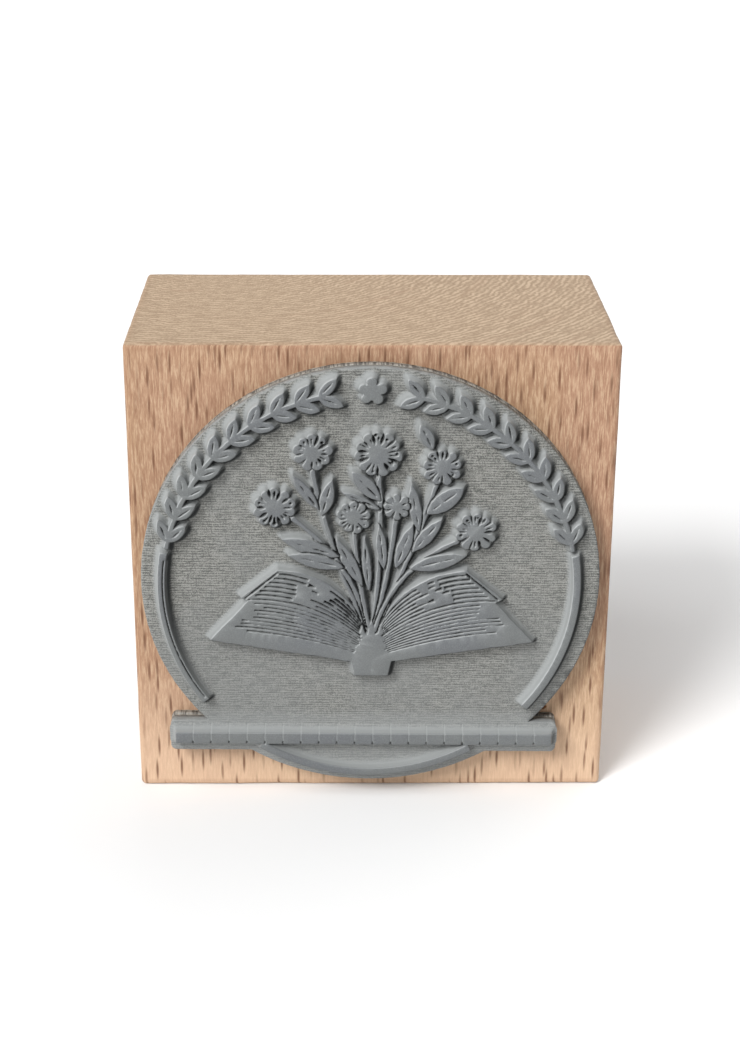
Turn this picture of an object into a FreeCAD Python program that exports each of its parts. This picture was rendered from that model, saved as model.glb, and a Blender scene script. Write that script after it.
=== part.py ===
"""Wood-mounted rubber stamp for paper crafting, standing on one edge of its block.

A planed beech block carries a glued stack on its front: adhesive film, foam cushion,
adhesive film and an engraved rubber die. The die prints a bouquet that grows out of an
open book, inside a broken ring with a leaf garland above and a dashed name line below.

Millimetres. +Z is up, -Y is the direction that the die faces. The origin is the centre
of the face that the block rests on. Artwork coordinates are (x, z) on the die.
"""
import FreeCAD, Part
import math
import os

# ---- block
BLOCK_WIDTH = 50.0
BLOCK_HEIGHT = 50.0
BLOCK_DEPTH = 27.7
BLOCK_EDGE_RADIUS = 0.5

# ---- layers glued to the front, from the wood outwards
FILM_THICKNESS = 0.1
FOAM_THICKNESS = 1.0
DIE_FLOOR_THICKNESS = 1.1
RELIEF_HEIGHT = 1.2

# ---- cut outline of the die and its cushion: an oval with a crossbar
OVAL_CENTRE = (-0.15, 25.1)
OVAL_HALF_WIDTH = 23.7
OVAL_HALF_HEIGHT = 23.1
CROSSBAR_LEFT = -21.2
CROSSBAR_RIGHT = 19.9
CROSSBAR_BOTTOM = 5.45
CROSSBAR_TOP = 9.0
CROSSBAR_CORNER_RADIUS = 0.6
DIE_TILT_DEG = 0.5

# ---- printed ring, broken for the garland and the name line
RING_CENTRE = (-0.3, 24.9)
RING_MEAN_RADIUS = 21.4
RING_WIDTH = 0.75
RING_SPANS_DEG = ((170.0, 216.0), (-38.5, 10.0), (238.5, 300.5))

# ---- dashed name line
NAME_LINE_LEFT = -20.6
NAME_LINE_RIGHT = 19.3
NAME_LINE_BOTTOM = 6.8
NAME_LINE_TOP = 8.05
DASH_COUNT = 21
DASH_GAP = 0.14

# ---- leaf garland over the top
GARLAND_RADIUS = 21.2
GARLAND_START_DEG = 166.5
GARLAND_STEP_DEG = 6.9
GARLAND_PAIRS = 10
GARLAND_STEM_WIDTH = 0.42
GARLAND_STEM_FOOT = 0.3    # stem beyond the first and last pair, in steps
GARLAND_LEAF_LENGTH = 2.6
GARLAND_LEAF_WIDTH = 1.15
GARLAND_LEAF_SPREAD_DEG = 34.0
GARLAND_BLOSSOM = (1.35, 5)    # radius, petals

# ---- bouquet: (x, z, radius, petals) of each flower
FLOWERS = (
    (-6.2, 39.7, 2.15, 9),
    (0.4, 39.6, 2.75, 11),
    (6.9, 38.2, 2.2, 9),
    (-10.0, 33.7, 2.45, 10),
    (-2.0, 32.7, 1.9, 9),
    (2.4, 33.9, 1.5, 8),
    (10.5, 31.2, 2.3, 10),
)
# stem of each flower, in the same order: foot, a point on the way, head
STEMS = (
    ((-0.75, 19.5), (-4.2, 30.0), (-6.3, 38.2)),
    ((0.0, 19.5), (0.75, 30.0), (0.5, 37.4)),
    ((0.75, 19.5), (3.9, 29.0), (6.4, 36.6)),
    ((-0.95, 19.5), (-4.0, 28.4), (-8.6, 32.8)),
    ((-0.3, 19.5), (-1.3, 26.0), (-1.9, 31.2)),
    ((0.35, 19.5), (1.6, 27.0), (2.3, 32.8)),
    ((1.0, 19.5), (3.7, 26.6), (9.0, 30.3)),
)
STEM_FOOT_WIDTH = 0.55
STEM_HEAD_WIDTH = 0.42
# leaves: base, tip, width
LEAVES = (
    ((-5.2, 32.9), (-4.2, 36.7), 1.35),
    ((-5.5, 33.5), (-8.2, 37.2), 1.05),
    ((0.7, 34.6), (-2.2, 37.6), 1.55),
    ((0.7, 33.6), (-3.1, 35.4), 0.85),
    ((5.5, 33.2), (9.1, 36.0), 1.9),
    ((4.7, 31.3), (3.8, 36.4), 1.15),
    ((4.1, 29.0), (7.0, 32.6), 1.35),
    ((2.4, 27.2), (4.0, 31.9), 1.3),
    ((1.2, 27.0), (0.6, 31.9), 1.0),
    ((-1.5, 26.4), (-3.9, 30.9), 1.3),
    ((-3.4, 28.4), (-9.3, 30.3), 1.5),
    ((-2.9, 27.2), (-8.6, 28.5), 1.45),
    ((3.8, 27.1), (9.6, 28.6), 1.6),
)
LEAF_VEIN_WIDTH = 0.16
BUD = ((5.9, 40.1), (4.6, 42.7), 1.3)
# a vein runs over this part of its leaf
VEIN_START = 0.18
VEIN_END = 0.8
# flower proportions, as fractions of its radius; petals overlap their neighbours
PETAL_RING = 0.68
PETAL_OVERLAP = 1.12
SLOT_START = 0.45
SLOT_END = 0.78
SLOT_WIDTH = 0.1

# ---- open book, right half: the left half is its mirror image
SPINE_HALF_WIDTH = 2.1
SPINE_FOOT_HALF_WIDTH = 1.75
SPINE_BOTTOM = 14.95
SPINE_TOP = 16.6
GUTTER_TOP = 20.0
PAGE_TIP = (16.8, 18.9)
PAGE_STEP_INNER = (12.8, 23.35)
PAGE_STEP_OUTER = (13.5, 23.75)
PAGE_CORNER = (9.7, 26.9)
TOP_EDGE = ((0.55, 20.0), (4.3, 25.1), (9.7, 26.9))
SPLIT_EDGE = ((0.8, 18.6), (5.9, 22.4), (13.2, 23.5))
LOWER_EDGE = ((1.6, 16.9), (8.5, 18.3), (16.3, 19.1))
COVER_GROOVE = ((13.1, 23.6), (11.35, 25.15), (9.6, 26.6))
PAGE_LINE_WIDTH = 0.2
SPLIT_SPAN = (0.12, 0.97)
# lines on the lower pages lie between LOWER_EDGE and SPLIT_EDGE, at these fractions of the way
LOWER_LINES = 7
LOWER_FIRST = 0.22
LOWER_LAST = 0.9
LOWER_START = 0.1
LOWER_END = 0.9
LOWER_END_STAGGER = 0.05
# lines on the upper pages lie between SPLIT_EDGE and TOP_EDGE, in two groups
UPPER_LINES = 5
UPPER_SPANS = ((0.15, 0.5), (0.72, 0.94))

# ---- derived planes, all along Y
FRONT_FACE_Y = -BLOCK_DEPTH / 2
FOAM_BACK_Y = FRONT_FACE_Y - FILM_THICKNESS
FOAM_FRONT_Y = FOAM_BACK_Y - FOAM_THICKNESS
DIE_BACK_Y = FOAM_FRONT_Y - FILM_THICKNESS
DIE_FLOOR_Y = DIE_BACK_Y - DIE_FLOOR_THICKNESS
RELIEF_ROOT = 0.3    # how deep the raised artwork starts inside the die's floor


# ---- drawing on the die: outlines are made at y = 0
def point(p):
    return FreeCAD.Vector(p[0], 0, p[1])


def polar(centre, radius, angle_deg):
    angle = math.radians(angle_deg)
    return (centre[0] + radius * math.cos(angle), centre[1] + radius * math.sin(angle))


def between(a, b, fraction):
    return (a[0] + (b[0] - a[0]) * fraction, a[1] + (b[1] - a[1]) * fraction)


def mirrored(p):
    return (-p[0], p[1])


def line(a, b):
    return Part.LineSegment(point(a), point(b)).toShape()


def arc(a, middle, b):
    return Part.Arc(point(a), point(middle), point(b)).toShape()


def face(edges):
    return Part.Face(Part.Wire(edges))


def polygon(points):
    return face([line(a, b) for a, b in zip(points, points[1:] + points[:1])])


def rectangle(left, bottom, right, top):
    return polygon([(left, bottom), (right, bottom), (right, top), (left, top)])


def disc(centre, radius):
    circle = Part.Circle(point(centre), FreeCAD.Vector(0, -1, 0), radius)
    return face([circle.toShape()])


def curve_stations(a, middle, b, fractions):
    """Points and left-hand normals along the arc from a to b through middle."""
    curve = Part.Arc(point(a), point(middle), point(b))
    stations = []
    for fraction in fractions:
        parameter = curve.FirstParameter + (curve.LastParameter - curve.FirstParameter) * fraction
        spot = curve.value(parameter)
        tangent = curve.tangent(parameter)[0]
        stations.append(((spot.x, spot.z), (-tangent.z, tangent.x)))
    return stations


def offset(station, distance):
    (x, z), (nx, nz) = station
    return (x + nx * distance, z + nz * distance)


def stroke(a, middle, b, start_width, end_width, start=0.0, end=1.0):
    """Band of changing width along part of the arc from a to b through middle."""
    stations = curve_stations(a, middle, b, (start, (start + end) / 2, end))
    halves = (start_width / 2, (start_width + end_width) / 4, end_width / 2)
    left = [offset(station, half) for station, half in zip(stations, halves)]
    right = [offset(station, -half) for station, half in zip(stations, halves)]
    return face([arc(*left), line(left[2], right[2]), arc(*reversed(right)), line(right[0], left[0])])


def leaf(base, tip, width):
    """Pointed leaf between two arcs."""
    middle = between(base, tip, 0.5)
    length = math.dist(base, tip)
    normal = (-(tip[1] - base[1]) / length, (tip[0] - base[0]) / length)
    left = (middle[0] + normal[0] * width / 2, middle[1] + normal[1] * width / 2)
    right = (middle[0] - normal[0] * width / 2, middle[1] - normal[1] * width / 2)
    return face([arc(base, left, tip), arc(tip, right, base)])


def vein(base, tip):
    """Groove along the middle of a leaf."""
    return leaf(between(base, tip, VEIN_START), between(base, tip, VEIN_END), LEAF_VEIN_WIDTH)


def ring_span(start_deg, end_deg):
    inner = RING_MEAN_RADIUS - RING_WIDTH / 2
    outer = RING_MEAN_RADIUS + RING_WIDTH / 2
    middle_deg = (start_deg + end_deg) / 2
    outside = [polar(RING_CENTRE, outer, angle) for angle in (start_deg, middle_deg, end_deg)]
    inside = [polar(RING_CENTRE, inner, angle) for angle in (end_deg, middle_deg, start_deg)]
    return face([arc(*outside), line(outside[2], inside[0]), arc(*inside), line(inside[2], outside[0])])


def united(faces):
    return faces[0].multiFuse(faces[1:]).removeSplitter()


# ---- artwork
def ring():
    return [ring_span(start, end) for start, end in RING_SPANS_DEG]


def name_line():
    pitch = (NAME_LINE_RIGHT - NAME_LINE_LEFT + DASH_GAP) / DASH_COUNT
    dashes = []
    for index in range(DASH_COUNT):
        left = NAME_LINE_LEFT + index * pitch
        right = left + pitch - DASH_GAP
        dashes.append(rectangle(left, NAME_LINE_BOTTOM, right, NAME_LINE_TOP))
    return dashes


def garland_branch(turn):
    """Stem with pairs of leaves; turn is 1 on the left branch and -1 on the right."""
    start = 90 + turn * (GARLAND_START_DEG - 90)
    step = -turn * GARLAND_STEP_DEG
    stem_turns = (-GARLAND_STEM_FOOT, GARLAND_PAIRS / 2, GARLAND_PAIRS - 1 + GARLAND_STEM_FOOT)
    stem = [polar(RING_CENTRE, GARLAND_RADIUS, start + turns * step) for turns in stem_turns]
    pieces = [stroke(*stem, GARLAND_STEM_WIDTH, GARLAND_STEM_WIDTH)]
    veins = []
    for index in range(GARLAND_PAIRS):
        angle = start + index * step
        base = polar(RING_CENTRE, GARLAND_RADIUS, angle)
        for spread in (GARLAND_LEAF_SPREAD_DEG, -GARLAND_LEAF_SPREAD_DEG):
            tip = polar(base, GARLAND_LEAF_LENGTH, angle - turn * 90 + spread)
            pieces.append(leaf(base, tip, GARLAND_LEAF_WIDTH))
            veins.append(vein(base, tip))
    return united(pieces).cut(veins)


def garland():
    blossom_centre = polar(RING_CENTRE, GARLAND_RADIUS, 90)
    blossom = flower_face(*blossom_centre, *GARLAND_BLOSSOM)
    return garland_branch(1).Faces + garland_branch(-1).Faces + [blossom]


def flower_face(x, z, radius, petals):
    """Scalloped flower head: round petals about a disc."""
    centre = (x, z)
    petal_ring = PETAL_RING * radius
    petal_radius = PETAL_OVERLAP * petal_ring * math.sin(math.pi / petals)
    heads = [disc(centre, petal_ring)]
    for index in range(petals):
        heads.append(disc(polar(centre, petal_ring, 90 + index * 360 / petals), petal_radius))
    return united(heads)


def flower_slots(x, z, radius, petals):
    """Narrow wedges between the petals."""
    slots = []
    for index in range(petals):
        angle = 90 + (index + 0.5) * 360 / petals
        foot = polar((x, z), SLOT_START * radius, angle)
        head = polar((x, z), SLOT_END * radius, angle)
        slots.append(leaf(foot, head, SLOT_WIDTH * radius))
    return slots


def bouquet():
    pieces = [stroke(*stem, STEM_FOOT_WIDTH, STEM_HEAD_WIDTH) for stem in STEMS]
    pieces += [leaf(*blade) for blade in LEAVES + (BUD,)]
    pieces += [flower_face(*flower) for flower in FLOWERS]
    return pieces


def bouquet_grooves():
    grooves = [vein(base, tip) for base, tip, _ in LEAVES + (BUD,)]
    for flower in FLOWERS:
        grooves += flower_slots(*flower)
    return grooves


def book_half(side):
    """One half of the open book; side is the function that places it, as drawn or mirrored."""
    foot = (SPINE_FOOT_HALF_WIDTH, SPINE_BOTTOM)
    shoulder = (SPINE_HALF_WIDTH, SPINE_TOP)
    centre_bottom = (0.0, SPINE_BOTTOM)
    centre_top = (0.0, GUTTER_TOP)
    corners = [centre_bottom, foot, shoulder, PAGE_TIP, PAGE_STEP_INNER, PAGE_STEP_OUTER, PAGE_CORNER]
    edges = [line(side(a), side(b)) for a, b in zip(corners, corners[1:])]
    edges.append(arc(*[side(p) for p in reversed(TOP_EDGE)]))
    edges.append(line(side(TOP_EDGE[0]), side(centre_top)))
    edges.append(line(side(centre_top), side(centre_bottom)))
    return face(edges)


def page_line(lower, upper, fraction, start, end):
    """Groove at a fraction of the way from one page edge to another."""
    path = [between(p, q, fraction) for p, q in zip(lower, upper)]
    return stroke(*path, PAGE_LINE_WIDTH, PAGE_LINE_WIDTH, start, end)


def book_grooves(side):
    edges = (LOWER_EDGE, SPLIT_EDGE, TOP_EDGE, COVER_GROOVE)
    lower, split, top, cover = [[side(p) for p in edge] for edge in edges]
    grooves = [stroke(*cover, PAGE_LINE_WIDTH, PAGE_LINE_WIDTH)]
    grooves.append(page_line(split, split, 0, *SPLIT_SPAN))
    for index in range(LOWER_LINES):
        fraction = LOWER_FIRST + (LOWER_LAST - LOWER_FIRST) * index / (LOWER_LINES - 1)
        end = LOWER_END - LOWER_END_STAGGER * (index % 3)
        grooves.append(page_line(lower, split, fraction, LOWER_START, end))
    for index in range(UPPER_LINES):
        fraction = (index + 1) / (UPPER_LINES + 1)
        for span in UPPER_SPANS:
            grooves.append(page_line(split, top, fraction, *span))
    return grooves


def as_drawn(p):
    return p


def picture():
    """Bouquet and book as one flat shape with its grooves cut out."""
    pieces = bouquet() + [book_half(as_drawn), book_half(mirrored)]
    grooves = bouquet_grooves() + book_grooves(as_drawn) + book_grooves(mirrored)
    return united(pieces).cut(grooves)


# ---- solids
def cut_outline():
    """Oval with a crossbar, as one face."""
    centre = point(OVAL_CENTRE)
    major = centre + FreeCAD.Vector(OVAL_HALF_WIDTH, 0, 0)
    minor = centre + FreeCAD.Vector(0, 0, OVAL_HALF_HEIGHT)
    oval = face([Part.Ellipse(major, minor, centre).toShape()])
    r = CROSSBAR_CORNER_RADIUS
    bar = [rectangle(CROSSBAR_LEFT + r, CROSSBAR_BOTTOM, CROSSBAR_RIGHT - r, CROSSBAR_TOP)]
    bar.append(rectangle(CROSSBAR_LEFT, CROSSBAR_BOTTOM + r, CROSSBAR_RIGHT, CROSSBAR_TOP - r))
    for x in (CROSSBAR_LEFT + r, CROSSBAR_RIGHT - r):
        bar += [disc((x, z), r) for z in (CROSSBAR_BOTTOM + r, CROSSBAR_TOP - r)]
    return united([oval] + bar)


def layer(outline, back_y, thickness):
    """Flat layer whose back lies at back_y, turned by the tilt of the glued die."""
    moved = outline.copy()
    moved.translate(FreeCAD.Vector(0, back_y, 0))
    solid = moved.extrude(FreeCAD.Vector(0, -thickness, 0))
    solid.rotate(point(OVAL_CENTRE), FreeCAD.Vector(0, 1, 0), DIE_TILT_DEG)
    return solid


def wood_block():
    corner = FreeCAD.Vector(-BLOCK_WIDTH / 2, -BLOCK_DEPTH / 2, 0)
    block = Part.makeBox(BLOCK_WIDTH, BLOCK_DEPTH, BLOCK_HEIGHT, corner)
    return block.makeFillet(BLOCK_EDGE_RADIUS, block.Edges)


def rubber_die(outline):
    floor = layer(outline, DIE_BACK_Y, DIE_FLOOR_THICKNESS)
    root_y = DIE_FLOOR_Y + RELIEF_ROOT
    artwork = ring() + name_line() + garland() + picture().Faces
    raised = [layer(drawn, root_y, RELIEF_HEIGHT + RELIEF_ROOT) for drawn in artwork]
    return floor.multiFuse(raised).removeSplitter()


def main():
    os.makedirs("parts", exist_ok=True)
    outline = cut_outline()
    nodes = {
        "wood_block": wood_block(),
        "block_adhesive": layer(outline, FRONT_FACE_Y, FILM_THICKNESS),
        "foam_cushion": layer(outline, FOAM_BACK_Y, FOAM_THICKNESS),
        "die_adhesive": layer(outline, FOAM_FRONT_Y, FILM_THICKNESS),
        "rubber_die": rubber_die(outline),
    }
    for name, shape in nodes.items():
        solid, = shape.Solids
        solid.exportStep(f"parts/{name}.step")
        print(name, "valid" if solid.isValid() else "INVALID", round(solid.Volume, 2), "mm3")


main()
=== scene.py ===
"""Looks of the wood-mounted rubber stamp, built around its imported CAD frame.

The artwork is drawn in millimetres on the die, as (x, z) in the row frame, and kept as a
grid of signed distances: positive inside what prints, negative in what is engraved away.
The die's mesh follows level lines of that grid, so its sloping shoulders are real faces.
"""

import math

import bpy
import numpy as np
from mathutils import Matrix, Vector
from mathutils.geometry import delaunay_2d_cdt
from mathutils.noise import noise


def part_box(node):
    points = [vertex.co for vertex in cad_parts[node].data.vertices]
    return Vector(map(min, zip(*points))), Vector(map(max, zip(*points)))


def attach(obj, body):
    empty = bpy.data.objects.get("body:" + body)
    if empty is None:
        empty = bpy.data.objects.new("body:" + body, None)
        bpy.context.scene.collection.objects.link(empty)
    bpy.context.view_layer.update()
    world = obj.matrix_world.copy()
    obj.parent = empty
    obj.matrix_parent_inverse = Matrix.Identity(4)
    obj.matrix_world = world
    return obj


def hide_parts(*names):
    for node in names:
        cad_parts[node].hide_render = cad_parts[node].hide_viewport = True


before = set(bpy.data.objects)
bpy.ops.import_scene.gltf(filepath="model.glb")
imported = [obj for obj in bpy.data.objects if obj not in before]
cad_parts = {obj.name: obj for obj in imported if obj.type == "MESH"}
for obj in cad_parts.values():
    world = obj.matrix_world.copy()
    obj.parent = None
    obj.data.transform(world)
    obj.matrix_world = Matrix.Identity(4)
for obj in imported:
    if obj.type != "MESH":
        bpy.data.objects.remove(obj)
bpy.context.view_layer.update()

MM = 0.001


def box_mm(node):
    """Lowest and highest corner of a CAD node, in millimetres."""
    low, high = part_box(node)
    return low / MM, high / MM


BLOCK_LOW, BLOCK_HIGH = box_mm("wood_block")
DIE_LOW, DIE_HIGH = box_mm("rubber_die")
FOAM_LOW, FOAM_HIGH = box_mm("foam_cushion")
FRONT_FACE_Y = BLOCK_LOW.y
FOAM_BACK_Y = FOAM_HIGH.y
FOAM_FRONT_Y = FOAM_LOW.y
DIE_BACK_Y = DIE_HIGH.y
PRINT_Y = DIE_LOW.y

# ---- the die's cut outline and artwork, the same sizes as the CAD part
OVAL_CENTRE = (-0.15, 25.1)
OVAL_HALF_WIDTH = 23.7
OVAL_HALF_HEIGHT = 23.1
CROSSBAR_LEFT = -21.2
CROSSBAR_RIGHT = 19.9
CROSSBAR_BOTTOM = 5.45
CROSSBAR_TOP = 9.0
CROSSBAR_CORNER_RADIUS = 0.6
DIE_TILT_DEG = 0.5

RING_CENTRE = (-0.3, 24.9)
RING_MEAN_RADIUS = 21.4
RING_WIDTH = 0.75
RING_SPANS_DEG = ((170.0, 217.5), (-39.5, 10.0), (238.5, 300.5))
RING_GROOVE = (21.24, (172.0, 216.6), 0.18)    # radius, span and width of a groove in its left part

NAME_LINE_LEFT = -20.6
NAME_LINE_RIGHT = 19.3
NAME_LINE_BOTTOM = 6.8
NAME_LINE_TOP = 8.05
DASH_COUNT = 21
DASH_GAP = 0.14

GARLAND_RADIUS = 21.2
GARLAND_START_DEG = 166.5
GARLAND_STEP_DEG = 6.9
GARLAND_PAIRS = 10
GARLAND_STEM_WIDTH = 0.42
GARLAND_STEM_FOOT = 0.3
GARLAND_LEAF_LENGTH = 2.6
GARLAND_LEAF_WIDTH = 1.15
GARLAND_LEAF_SPREAD_DEG = 34.0
GARLAND_BLOSSOM = (1.35, 5)

FLOWERS = (
    (-6.2, 39.7, 2.15, 9),
    (0.4, 39.6, 2.75, 11),
    (6.9, 38.2, 2.2, 9),
    (-10.0, 33.7, 2.45, 10),
    (-2.0, 32.7, 1.9, 9),
    (2.4, 33.9, 1.5, 8),
    (10.5, 31.2, 2.3, 10),
)
STEMS = (
    ((-0.75, 19.5), (-4.2, 30.0), (-6.3, 38.2)),
    ((0.0, 19.5), (0.75, 30.0), (0.5, 37.4)),
    ((0.75, 19.5), (3.9, 29.0), (6.4, 36.6)),
    ((-0.95, 19.5), (-4.0, 28.4), (-8.6, 32.8)),
    ((-0.3, 19.5), (-1.3, 26.0), (-1.9, 31.2)),
    ((0.35, 19.5), (1.6, 27.0), (2.3, 32.8)),
    ((1.0, 19.5), (3.7, 26.6), (9.0, 30.3)),
)
STEM_FOOT_Z = 20.0
STEM_FOOT_SPREAD = 0.35
STEM_FOOT_WIDTH = 0.3
STEM_HEAD_WIDTH = 0.4
LEAVES = (
    ((-5.2, 32.9), (-4.2, 36.7), 1.35),
    ((-5.5, 33.5), (-8.2, 37.2), 1.05),
    ((0.7, 34.6), (-2.2, 37.6), 1.55),
    ((0.7, 33.6), (-3.1, 35.4), 0.85),
    ((5.5, 33.2), (9.1, 36.0), 1.9),
    ((4.7, 31.3), (3.8, 36.4), 1.15),
    ((4.1, 29.0), (7.0, 32.6), 1.35),
    ((2.4, 27.2), (4.0, 31.9), 1.3),
    ((1.2, 27.0), (0.6, 31.9), 1.0),
    ((-1.0, 25.2), (-3.7, 30.3), 1.25),
    ((-0.3, 24.6), (-0.85, 30.4), 0.8),
    ((-3.4, 28.4), (-9.3, 30.3), 1.5),
    ((-2.9, 27.2), (-8.6, 28.5), 1.45),
    ((3.8, 27.1), (9.6, 28.6), 1.6),
)
LEAF_VEIN_WIDTH = 0.16
BUD = ((5.9, 40.1), (4.6, 42.7), 1.3)
VEIN_START = 0.18
VEIN_END = 0.8
PETAL_RING = 0.66
PETAL_OVERLAP = 1.08
SLIT_WIDTH = 0.09

SPINE_HALF_WIDTH = 2.1
SPINE_FOOT_HALF_WIDTH = 1.75
SPINE_BOTTOM = 14.95
SPINE_TOP = 16.6
SPINE_FLARE = ((2.0, 16.7), (1.3, 17.1), (0.8, 17.9), (0.5, 19.0), (0.3, 20.4), (0.0, 21.2))
GUTTER_TOP = 20.0
PAGE_TIP = (16.8, 18.9)
PAGE_STEP_INNER = (12.8, 23.35)
PAGE_STEP_OUTER = (13.5, 23.75)
TOP_EDGE = ((0.55, 20.0), (4.3, 25.1), (9.7, 26.9))
SPLIT_EDGE = ((0.45, 18.9), (5.9, 22.4), (13.2, 23.5))
LOWER_EDGE = ((1.0, 16.8), (8.5, 18.3), (16.3, 19.1))
COVER_GROOVE = ((13.1, 23.6), (11.35, 25.15), (9.6, 26.6))
SPLIT_SPAN = (0.06, 0.97)
LOWER_LINES = 9
LOWER_FIRST = 0.24
LOWER_LAST = 0.9
UPPER_LINES = 6
COVER_EDGE_DROP = 0.5
COVER_EDGE_WIDTH = 0.15

# ---- how the laser leaves the rubber
PAINT_GAP = 0.22          # groove that parts one stem, leaf or flower from what it crosses
WANDER = ((0.9, 0.04), (0.35, 0.035))    # pitch and depth of the unevenness of every edge
PAINTED_SHADE_REACH = 0.45          # how far from a raised edge its lower right side gets painted shade
PAINTED_HIGHLIGHT_REACH = 0.2           # how near an upper left edge gets a painted highlight
SHOULDER = (              # distance outside the artwork, depth below the print face
    (-0.07, 0.0), (0.0, 0.03), (0.04, 0.13), (0.12, 0.55),
    (0.25, 0.88), (0.42, 1.08), (0.60, 1.18), (0.70, 1.20),
)
GRID_PITCH = 0.07
LINE_TOLERANCE = 0.008
LONGEST_STEP = 0.5
FAR = 1.0                 # distances are kept up to this far outside
NARROW_CELLS = 5          # grid cells round a point in which a groove counts as narrow
SEAM_HALF_WIDTH = 0.1     # seam between two dashes of the name line, notched, and painted pale as a highlight
SEAM_DEPTH = 0.08
SEAM_ABOVE = 0.6          # how far a seam runs up the shoulder
NICK_HALF_WIDTH = 0.11    # nick at the foot of a seam, given painted shade as a narrow groove
NICK_HEIGHT = 0.3


# ---- plane geometry, in millimetres on the die
def polar(centre, radius, angle_deg):
    angle = math.radians(angle_deg)
    return (centre[0] + radius * math.cos(angle), centre[1] + radius * math.sin(angle))


def between(a, b, fraction):
    return (a[0] + (b[0] - a[0]) * fraction, a[1] + (b[1] - a[1]) * fraction)


def mirrored(p):
    return (-p[0], p[1])


def as_drawn(p):
    return p


def arc_points(a, middle, b, start=0.0, end=1.0, step=0.12):
    """Points and left-hand normals along part of the arc from a to b through middle."""
    ax, az = a
    bx, bz = middle[0] - ax, middle[1] - az
    cx, cz = b[0] - ax, b[1] - az
    cross = 2 * (bx * cz - bz * cx)
    chord = math.hypot(cx, cz)
    if abs(cross) < 1e-4 * chord * chord:
        count = max(2, int(chord * (end - start) / step) + 1)
        fractions = np.linspace(start, end, count)
        points = np.stack([ax + cx * fractions, az + cz * fractions], 1)
        normal = np.array([-cz, cx]) / chord
        return points, np.tile(normal, (count, 1))
    b2 = bx * bx + bz * bz
    c2 = cx * cx + cz * cz
    ux = (cz * b2 - bz * c2) / cross
    uz = (bx * c2 - cx * b2) / cross
    radius = math.hypot(ux, uz)
    first = math.atan2(-uz, -ux)
    last = math.atan2(cz - uz, cx - ux)
    turn = 1 if cross > 0 else -1
    sweep = (last - first) * turn % (2 * math.pi) * turn
    count = max(3, int(abs(sweep) * radius * (end - start) / step) + 1)
    angles = first + sweep * np.linspace(start, end, count)
    outward = np.stack([np.cos(angles), np.sin(angles)], 1)
    return np.array([ax + ux, az + uz]) + radius * outward, -turn * outward


def stroke(a, middle, b, start_width, end_width, start=0.0, end=1.0):
    """Outline of a band of changing width along part of an arc."""
    points, normals = arc_points(a, middle, b, start, end)
    half = np.linspace(start_width / 2, end_width / 2, len(points))[:, None]
    return np.concatenate([points + normals * half, (points - normals * half)[::-1]])


def leaf(base, tip, width):
    """Outline of a pointed leaf between two arcs."""
    middle = between(base, tip, 0.5)
    length = math.dist(base, tip)
    normal = (-(tip[1] - base[1]) / length, (tip[0] - base[0]) / length)
    left = (middle[0] + normal[0] * width / 2, middle[1] + normal[1] * width / 2)
    right = (middle[0] - normal[0] * width / 2, middle[1] - normal[1] * width / 2)
    there = arc_points(base, left, tip)[0]
    back = arc_points(tip, right, base)[0]
    return np.concatenate([there[:-1], back[:-1]])


def vein(base, tip):
    return leaf(between(base, tip, VEIN_START), between(base, tip, VEIN_END), LEAF_VEIN_WIDTH)


def ring_band(radius, span_deg, width):
    start, end = span_deg
    path = [polar(RING_CENTRE, radius, angle) for angle in (start, (start + end) / 2, end)]
    return stroke(*path, width, width)


def rectangle(left, bottom, right, top):
    return np.array([(left, bottom), (right, bottom), (right, top), (left, top)])


# ---- signed distance grid
class Relief:
    """Signed distance to the artwork over the die, positive inside what prints."""

    def __init__(self, low, high):
        self.low = np.array(low)
        self.size = (np.ceil((np.array(high) - low) / GRID_PITCH)).astype(int) + 1
        self.value = np.full(self.size, -FAR)

    def window(self, low, high):
        """Slices and coordinates of the grid points within FAR of a box."""
        first = np.maximum(np.floor((low - FAR - self.low) / GRID_PITCH).astype(int), 0)
        last = np.minimum(np.ceil((high + FAR - self.low) / GRID_PITCH).astype(int) + 1, self.size)
        x = self.low[0] + GRID_PITCH * np.arange(first[0], last[0])
        z = self.low[1] + GRID_PITCH * np.arange(first[1], last[1])
        grid = np.meshgrid(x, z, indexing="ij")
        return (slice(first[0], last[0]), slice(first[1], last[1])), grid[0], grid[1]

    def add(self, shape):
        place, distance = self.measure(shape)
        self.value[place] = np.maximum(self.value[place], distance)

    def paint(self, shape, gap=PAINT_GAP):
        """Adds a shape in front of what is there, with a gap round it."""
        place, distance = self.measure(shape)
        behind = np.minimum(self.value[place], -distance - gap)
        self.value[place] = np.maximum(behind, distance)

    def cut(self, shape):
        place, distance = self.measure(shape)
        self.value[place] = np.minimum(self.value[place], -distance)

    def measure(self, shape):
        """Where a shape lies and its signed distances there: a list of discs, or an outline."""
        if isinstance(shape, list):
            centres = np.array([centre for centre, _ in shape])
            radii = np.array([radius for _, radius in shape])
            place, x, z = self.window((centres - radii[:, None]).min(0), (centres + radii[:, None]).max(0))
            distance = np.full(x.shape, -np.inf)
            for (cx, cz), radius in zip(centres, radii):
                distance = np.maximum(distance, radius - np.hypot(x - cx, z - cz))
            return place, distance
        place, x, z = self.window(shape.min(0), shape.max(0))
        return place, outline_distance(x, z, shape)

    def sample(self, points, grid=None):
        """Bilinear value at points, of the distances or of another grid of the same size."""
        at = (np.asarray(points) - self.low) / GRID_PITCH
        cell = np.clip(np.floor(at).astype(int), 0, self.size - 2)
        fx, fz = (at - cell).T
        i, j = cell.T
        v = self.value if grid is None else grid
        v00, v10, v01, v11 = v[i, j], v[i + 1, j], v[i, j + 1], v[i + 1, j + 1]
        value = (v00 * (1 - fx) + v10 * fx) * (1 - fz) + (v01 * (1 - fx) + v11 * fx) * fz
        return value


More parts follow.
